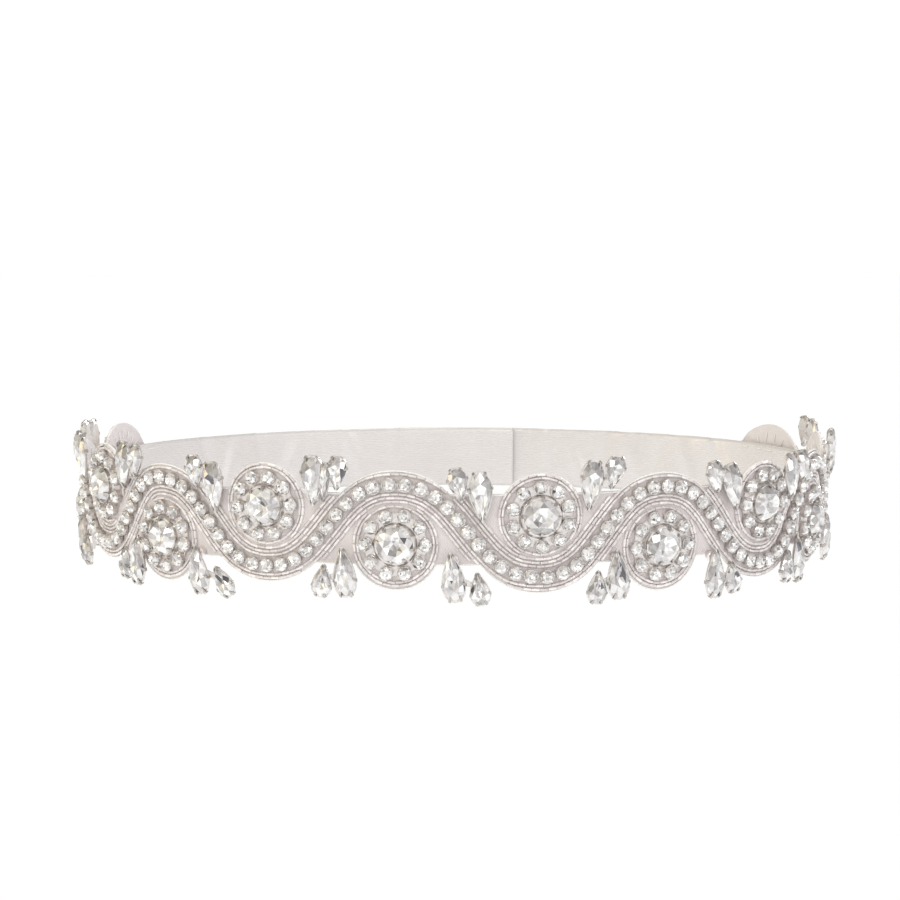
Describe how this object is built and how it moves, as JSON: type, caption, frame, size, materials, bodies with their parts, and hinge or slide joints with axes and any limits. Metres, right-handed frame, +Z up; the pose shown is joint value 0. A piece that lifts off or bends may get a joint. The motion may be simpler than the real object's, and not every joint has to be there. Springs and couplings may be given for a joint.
{
  "type": "bridal sash",
  "caption": "Bridal sash: a waving applique of clear stones and beads with round rosettes and pear-shaped stones, sewn to a satin ribbon that closes round the waist.",
  "frame": {"origin": "centre of the waist ring, level with the middle of the applique", "axes": "+Z up along the wearer's waist, -Y towards the middle of the applique at the wearer's front, +X to the right as seen from the front"},
  "size_m": [0.2316, 0.1871, 0.0428],
  "materials": {
    "satin": "white polyester satin, soft sheen",
    "net": "sheer warm grey net, matt",
    "beads": "clear silver-lined beads and small foil-backed round stones in silver cups",
    "crystal": "clear faceted foil-backed stones in silver claw settings"
  },
  "bodies": {
    "root": {"cluster_bottom_01": "crystal", "cluster_bottom_02": "crystal", "cluster_bottom_03": "crystal", "cluster_bottom_04": "crystal", "cluster_bottom_05": "crystal", "cluster_bottom_06": "crystal", "cluster_bottom_07": "crystal", "cluster_bottom_08": "crystal", "cluster_bottom_09": "crystal", "cluster_bottom_10": "crystal", "cluster_bottom_11": "crystal", "cluster_top_01": "crystal", "cluster_top_02": "crystal", "cluster_top_03": "crystal", "cluster_top_04": "crystal", "cluster_top_05": "crystal", "cluster_top_06": "crystal", "cluster_top_07": "crystal", "cluster_top_08": "crystal", "cluster_top_09": "crystal", "cluster_top_10": "crystal", "cluster_top_11": "crystal", "net_ground": "net", "ribbon": "satin", "rosette_01": "crystal", "rosette_02": "crystal", "rosette_03": "crystal", "rosette_04": "crystal", "rosette_05": "crystal", "rosette_06": "crystal", "rosette_07": "crystal", "rosette_08": "crystal", "rosette_09": "crystal", "rosette_10": "crystal", "rosette_11": "crystal", "rosette_12": "crystal", "stone_chain": "beads"}
  },
  "joints": []
}
